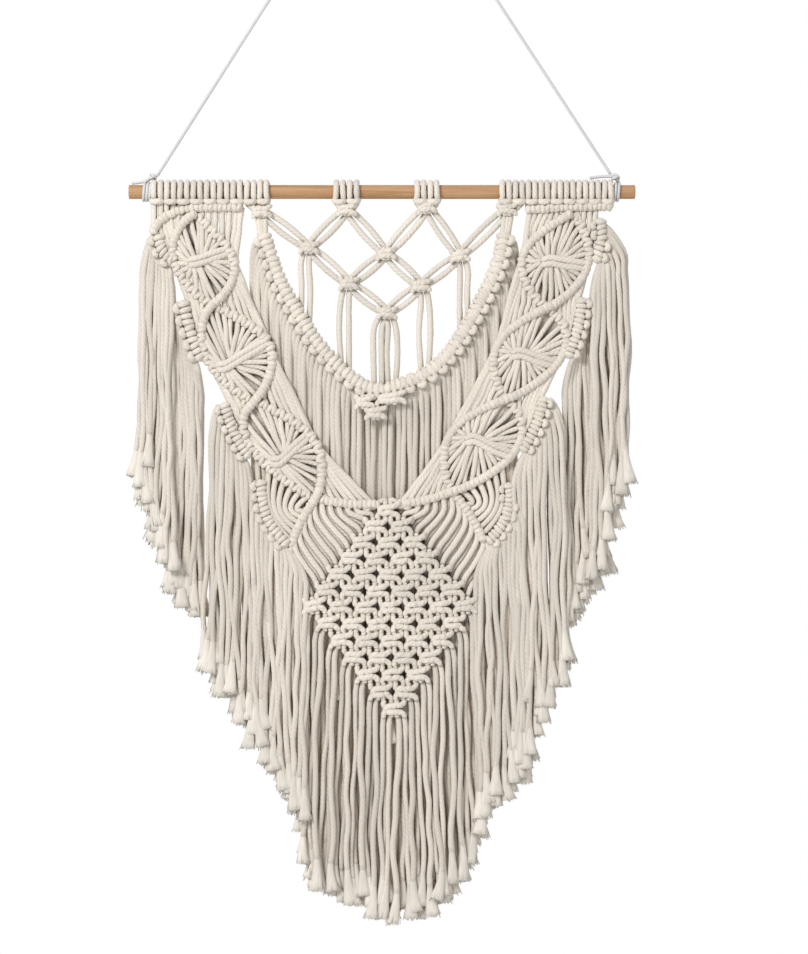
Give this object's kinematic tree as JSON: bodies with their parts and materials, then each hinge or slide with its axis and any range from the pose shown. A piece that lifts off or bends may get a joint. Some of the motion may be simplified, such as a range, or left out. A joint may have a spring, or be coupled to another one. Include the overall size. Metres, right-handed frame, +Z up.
{
  "type": "macrame wall hanging on a dowel",
  "caption": "Knotted cotton wall hanging with leaf-shaped wings, a swag, a diamond of square knots and long fringe, on a wooden dowel with a thin hanging cord.",
  "frame": {"origin": "hanging point: where the hanging cord bears on the peg that carries it", "axes": "+Z up, +X to the viewer's right, -Y out of the front towards the viewer"},
  "size_m": [0.506, 0.0252, 1.0925],
  "materials": {
    "dowel_wood": "sanded, unvarnished",
    "hanging_cord_cotton": "thin twisted cotton cord",
    "wing_left_cotton": "soft natural cotton cord",
    "wing_right_cotton": "soft natural cotton cord",
    "net_cotton": "soft natural cotton cord",
    "swag_cotton": "soft natural cotton cord",
    "diamond_cotton": "soft natural cotton cord",
    "scallop_left_1_cotton": "soft natural cotton cord",
    "scallop_left_2_cotton": "soft natural cotton cord",
    "scallop_left_3_cotton": "soft natural cotton cord",
    "scallop_left_4_cotton": "soft natural cotton cord",
    "scallop_right_1_cotton": "soft natural cotton cord",
    "scallop_right_2_cotton": "soft natural cotton cord",
    "scallop_right_3_cotton": "soft natural cotton cord",
    "scallop_right_4_cotton": "soft natural cotton cord"
  },
  "bodies": {
    "root": {"dowel": "dowel_wood", "hanging_cord": "hanging_cord_cotton", "wing_left": "wing_left_cotton", "wing_right": "wing_right_cotton", "net": "net_cotton", "swag": "swag_cotton", "diamond": "diamond_cotton", "scallop_left_1": "scallop_left_1_cotton", "scallop_left_2": "scallop_left_2_cotton", "scallop_left_3": "scallop_left_3_cotton", "scallop_left_4": "scallop_left_4_cotton", "scallop_right_1": "scallop_right_1_cotton", "scallop_right_2": "scallop_right_2_cotton", "scallop_right_3": "scallop_right_3_cotton", "scallop_right_4": "scallop_right_4_cotton"}
  },
  "joints": []
}
